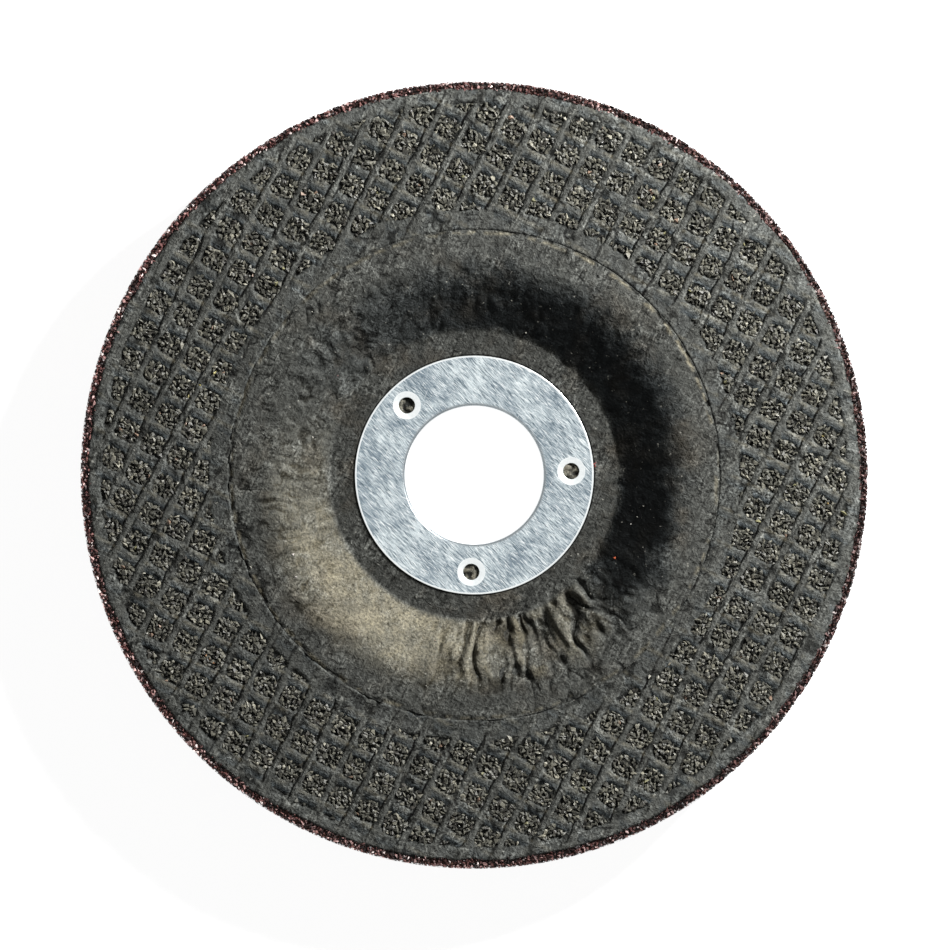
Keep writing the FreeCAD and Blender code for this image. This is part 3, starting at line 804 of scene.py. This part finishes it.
def make_centre():
    """Skin of the centre: the recess section carried round, with folds down its wall."""
    columns = 720
    rows = np.concatenate([
        [HUB_HOLE],
        np.linspace(ANCHOR_CIRCLE - ANCHOR_RADIUS, ANCHOR_CIRCLE + ANCHOR_RADIUS, 14),
        [SEAT_EDGE - 0.45, SEAT_EDGE - 0.25, SEAT_EDGE - 0.02, SEAT_EDGE, SEAT_EDGE + 0.12],
        np.linspace(SEAT_EDGE + 0.4, FLOOR_EDGE - 0.25, 10),
        np.linspace(FLOOR_EDGE - 0.1, 35.2, 58),
        np.linspace(35.5, STEP_EDGE - 0.2, 14),
        [STEP_EDGE - 0.08, STEP_EDGE],
    ])
    radius, height, looks = centre_surface(rows, around(columns))
    under_rows = np.array([STEP_EDGE, MOUTH_UNDER, FLOOR_EDGE, HUB_HOLE])
    under = np.array([FACE_UNDER, FACE_UNDER, FLOOR_UNDER, FLOOR_UNDER]) + HAIR
    radius = np.vstack([radius, np.broadcast_to(under_rows[:, None], (4, columns))])
    height = np.vstack([height, np.broadcast_to(under[:, None], (4, columns))])
    piece = turn_section("cloth_centre", radius, height, columns)
    paint_cloth(piece, looks, under_rows=4)
    return piece


# The moulded body

def make_body():
    """Grit and resin body: its closed section carried round, rough rim and woven back."""
    columns = 900
    deep = FACE_UNDER - SUNK
    rim_top = FACE_UNDER + 0.1
    section = [
        (FLOOR_EDGE, FLOOR_UNDER - SUNK), (MOUTH_UNDER, deep), (45.0, deep), (CLOTH_EDGE - 1.2, deep),
    ]
    section += [(r, rim_top) for r in np.linspace(CLOTH_EDGE - 0.7, DISC_RADIUS - 0.45, 7)]
    section += [(DISC_RADIUS - 0.12, z) for z in np.linspace(rim_top - 0.25, BACK_PLANE + 0.25, 24)]
    section += [(r, BACK_PLANE) for r in np.linspace(DISC_RADIUS - 0.5, FOOT_CORNER + 1.5, 44)]
    slope = np.linspace(0, 1, 13)[1:-1]
    section += [(FOOT_CORNER - s * (FOOT_CORNER - HUB_EDGE), BACK_PLANE * (1 - s)) for s in slope]
    section += [(r, 0.0) for r in np.linspace(HUB_EDGE - 1.3, HUB_HOLE + 0.3, 11)]
    section += [(HUB_HOLE, 0.3), (HUB_HOLE, FLOOR_UNDER - SUNK)]
    section = np.array(section)
    turn = around(columns)
    radius, height = section[:, :1] + 0 * turn, section[:, 1:] + 0 * turn
    x, y = radius * np.cos(turn), radius * np.sin(turn)
    side = (radius > DISC_RADIUS - 0.3) & (height > BACK_PLANE + 0.1)
    top = (radius > CLOTH_EDGE - 0.8) & (height > FACE_UNDER)
    back = (height < BACK_PLANE + 0.05) & (radius < DISC_RADIUS - 0.2) & (radius > HUB_HOLE + 0.1)
    lumps = noise(DISC_RADIUS * turn[None] + 0 * radius, height, 0.45, 71)
    radius = radius - 0.22 * side * lumps
    height = height - 0.2 * top * noise(x, y, 0.5, 72)
    weft, warp = strands(x, y)
    print_depth = 0.16 * np.maximum(bundle(weft, 1.1), bundle(warp, 0.8))
    on_back = back & (section[:, 1:] > BACK_PLANE - 0.05)
    height = height + np.where(on_back, 0.16 - print_depth + 0.05 * noise(x, y, 0.9, 73), 0)
    height = height + np.where(back & ~on_back & (section[:, 1:] > 0.1), 0.12 * noise(x, y, 1.5, 74), 0)
    rim = (side | top).astype(float)
    piece = turn_section("moulded_body", radius, height, columns)
    paint(piece, "shape", rim)
    return piece


def make_rim_grit():
    """Bare grit of the rim, in a shaken grid on its top and round its side."""
    random = np.random.default_rng(81)
    step = 0.46
    wide = DISC_RADIUS - CLOTH_EDGE - 0.25
    tall = FACE_UNDER - BACK_PLANE - 0.5
    spots = int(2 * math.pi * DISC_RADIUS / step)
    turn = np.arange(spots) * 2 * math.pi / spots
    rings = np.arange(int(wide / step) + 2)
    levels = np.arange(int(tall / step) + 1)
    top_turn, ring = (grid.ravel() for grid in np.meshgrid(turn, rings))
    side_turn, level = (grid.ravel() for grid in np.meshgrid(turn, levels))
    radius = np.concatenate([
        CLOTH_EDGE - 0.1 + ring * step + random.uniform(-0.18, 0.18, len(ring)),
        DISC_RADIUS - 0.28 + random.uniform(-0.12, 0.08, len(level)),
    ])
    height = np.concatenate([
        FACE_UNDER + 0.08 + random.uniform(-0.06, 0.12, len(ring)),
        BACK_PLANE + 0.35 + level * step + random.uniform(-0.18, 0.18, len(level)),
    ])
    angle = np.concatenate([top_turn, side_turn])
    angle = angle + random.uniform(-0.45, 0.45, len(angle)) * step / DISC_RADIUS
    size = random.uniform(0.30, 0.62, len(angle))
    tones = srgb_rows("#6d4845", "#8d6560", "#46302d", "#b08a86", "#f4e4df", "#241615", "#7a5f5c", "#d8b5b0")
    colours = tones[random.choice(8, len(angle), p=(0.20, 0.17, 0.19, 0.10, 0.05, 0.17, 0.06, 0.06))]
    # The grit's colour is painted paler towards the left and darker towards the right,
    # where the lamp falls, to even out its light
    colours = colours * (0.98 - 0.46 * np.cos(angle + math.radians(8)))[:, None]
    centres = np.stack([radius * np.cos(angle), radius * np.sin(angle), height], 1)
    piece = make_grains("rim_grit", centres, size, tilt=math.pi / 2, colours=colours, seed=82)
    return piece


# The steel ring

def turned(name, section, columns):
    """Plain section turned about Z, from (radius, height) corners."""
    section = np.array(section)
    return turn_section(name, section[:, :1], section[:, 1:], columns)


def make_ring():
    """Bore ring: sheet section turned round Z, less three dished holes.

    The lip and the edges are quarter circles; each hole's dish is a cone that eases
    into the flange over a quarter of a millimetre.
    """
    arc = np.linspace(0, math.pi / 2, 9)
    lip, edge = 0.45, 0.12
    under = FLANGE_TOP - RING_SHEET + 0.01
    section = [(BORE_RADIUS, NECK_END), (BORE_RADIUS, 3.0)]
    out, up = BORE_RADIUS + lip, FLANGE_TOP - lip
    section += [(out - lip * math.cos(a), up + lip * math.sin(a)) for a in arc]
    section += [(r, FLANGE_TOP) for r in (12.6, 15.4, 18.2, FLANGE_EDGE - 0.3)]
    out, up = FLANGE_EDGE - edge, FLANGE_TOP - edge
    section += [(out + edge * math.sin(a), up + edge * math.cos(a)) for a in arc]
    neck = BORE_RADIUS + RING_SHEET
    section += [(FLANGE_EDGE, under), (neck, under), (neck, NECK_END)]
    ring = turned("steel_ring", section, 256)
    low, high = FLANGE_TOP - ANCHOR_DEPTH, FLANGE_TOP + 0.3
    dish = [(0.02, 5.0), (ANCHOR_RADIUS, 5.0), (ANCHOR_RADIUS, low - 0.03)]
    dish += [(ANCHOR_RADIUS + 0.05, low + 0.03), (ANCHOR_DISH - 0.12, FLANGE_TOP - 0.05)]
    dish += [(ANCHOR_DISH, FLANGE_TOP - 0.012), (ANCHOR_DISH + 0.14, FLANGE_TOP + 0.002)]
    dish += [(ANCHOR_DISH + 0.3, high), (0.02, high)]
    turns = [math.radians(turn) for turn in ANCHOR_TURNS]
    holes = [(ANCHOR_CIRCLE * math.cos(turn), ANCHOR_CIRCLE * math.sin(turn)) for turn in turns]
    for x, y in holes:
        tool = turned("dish_tool", dish, 48)
        tool.data.transform(Matrix.Translation((x * MM, y * MM, 0)))
        trim = ring.modifiers.new("dish", "BOOLEAN")
        trim.operation, trim.solver, trim.object = "DIFFERENCE", "EXACT", tool
        bpy.context.view_layer.update()
        mesh = bpy.data.meshes.new_from_object(ring.evaluated_get(bpy.context.evaluated_depsgraph_get()))
        ring.modifiers.clear()
        ring.data = mesh
        bpy.data.objects.remove(tool)
    ring.data.polygons.foreach_set("use_smooth", np.ones(len(ring.data.polygons), dtype=bool))
    ring.data.set_sharp_from_angle(angle=math.radians(28))

    # The dishes and the flange's outer edge are rubbed bright and painted brighter as
    # painted highlight, where these curved faces catch the light
    face = np.zeros(len(ring.data.polygons) * 3)
    ring.data.polygons.foreach_get("center", face)
    face = face.reshape(-1, 3) / MM
    rubbed = np.hypot(face[:, 0], face[:, 1]) > FLANGE_EDGE - 0.29
    for x, y in holes:
        dished = np.hypot(face[:, 0] - x, face[:, 1] - y) < ANCHOR_DISH + 0.12
        rubbed = rubbed | (dished & (face[:, 2] < FLANGE_TOP - 0.001))
    ring.data.materials.clear()
    ring.data.materials.append(steel_material())
    ring.data.materials.append(burnished_and_highlight_material())
    ring.data.polygons.foreach_set("material_index", rubbed.astype(np.int32))
    return ring


# Stage, light and camera

def seen_by_camera(tree):
    """1 where the ray comes from the camera, off metal or through glass, and else 0."""
    path = add(tree, "ShaderNodeLightPath", {})
    off = add(tree, MATH, {"operation": "MAXIMUM", 0: path.outputs["Is Glossy Ray"],
                           1: path.outputs["Is Transmission Ray"]})
    return add(tree, MATH, {"operation": "MAXIMUM", 0: path.outputs["Is Camera Ray"], 1: off})


def make_stage():
    """Pale floor that shows white to the camera but keeps the disc's soft shadow.

    The floor glows for the camera alone, which lifts its lit colour to white, and the
    sky is white to the camera and gives the disc only a twentieth of that light.
    """
    size = 1.6
    mesh = bpy.data.meshes.new("floor")
    corners = [(-size, -size, 0), (size, -size, 0), (size, size, 0), (-size, size, 0)]
    mesh.from_pydata(corners, [], [(0, 1, 2, 3)])
    floor = put_object("floor", mesh)
    material, tree, shader, _ = start_material("matt_white_paper", {
        "Base Color": (0.85, 0.85, 0.85, 1), "Roughness": 0.9, "Specular IOR Level": 0.0,
        "Emission Color": (1, 1, 1, 1)})
    glow = add(tree, MATH, {"operation": "MULTIPLY", 0: seen_by_camera(tree), 1: 0.93})
    tree.links.new(glow.outputs[0], shader.inputs["Emission Strength"])
    mesh.materials.append(material)

    world = bpy.data.worlds.new("studio")
    bpy.context.scene.world = world
    world.use_nodes = True
    tree = world.node_tree
    tree.nodes.clear()
    strength = add(tree, MATH, {"operation": "MULTIPLY_ADD", 0: seen_by_camera(tree), 1: 0.95, 2: 0.05})
    sky = add(tree, "ShaderNodeBackground", {"Color": (1, 1, 1, 1), "Strength": strength})
    add(tree, "ShaderNodeOutputWorld", {"Surface": sky})


def make_light():
    """One soft lamp low at the upper right, as in the photograph."""
    azimuth, rise, away = math.radians(40), math.radians(26), 0.40
    lamp = bpy.data.lights.new("key", "AREA")
    lamp.shape, lamp.size, lamp.energy = "DISK", 0.08, 3.6
    key = put_object("key", lamp)
    flat = math.cos(rise)
    place = np.array([flat * math.cos(azimuth), flat * math.sin(azimuth), math.sin(rise)])
    key.location = place * away + np.array([0, 0, 0.01])
    key.rotation_euler = (math.pi / 2 - rise, 0, azimuth + math.pi / 2)


def make_camera():
    """Camera straight above, the photograph's upper edge towards +Y."""
    camera = bpy.data.cameras.new("camera")
    holder = put_object("camera", camera)
    above, wide = 0.90, PHOTO_WIDTH / PIXELS_PER_MM * MM
    camera.sensor_width = 36
    camera.lens = 36 * (above - CENTRE_TOP * MM) / wide
    camera.clip_start, camera.clip_end = 0.05, 5
    # The disc's middle lies that much to the left of the photograph's
    holder.location = (0.11 * MM, 0, above)
    bpy.context.scene.camera = holder


def main():
    """Make the pieces, give them their materials and stand them in for the nodes."""
    make_camera()
    weave, centre = make_weave(), make_centre()
    pit_grit, rim_grit, body, ring = make_pit_grit(), make_rim_grit(), make_body(), make_ring()
    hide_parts("front_cloth")
    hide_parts("front_cloth")
    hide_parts("front_cloth")
    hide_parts("abrasive_disc")
    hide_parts("abrasive_disc")
    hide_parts("bore_ring")
    cloth = resin_cloth_material()
    weave.data.materials.append(cloth)
    centre.data.materials.append(cloth)
    pit_grit.data.materials.append(grit_material("olive_grey_alumina_grit", "#1b1c18"))
    rim_grit.data.materials.append(grit_material("brown_alumina_grit", "#140d0b"))
    body.data.materials.append(back_material())
    make_stage()
    make_light()
    bpy.context.scene.view_settings.view_transform = "Standard"


main()
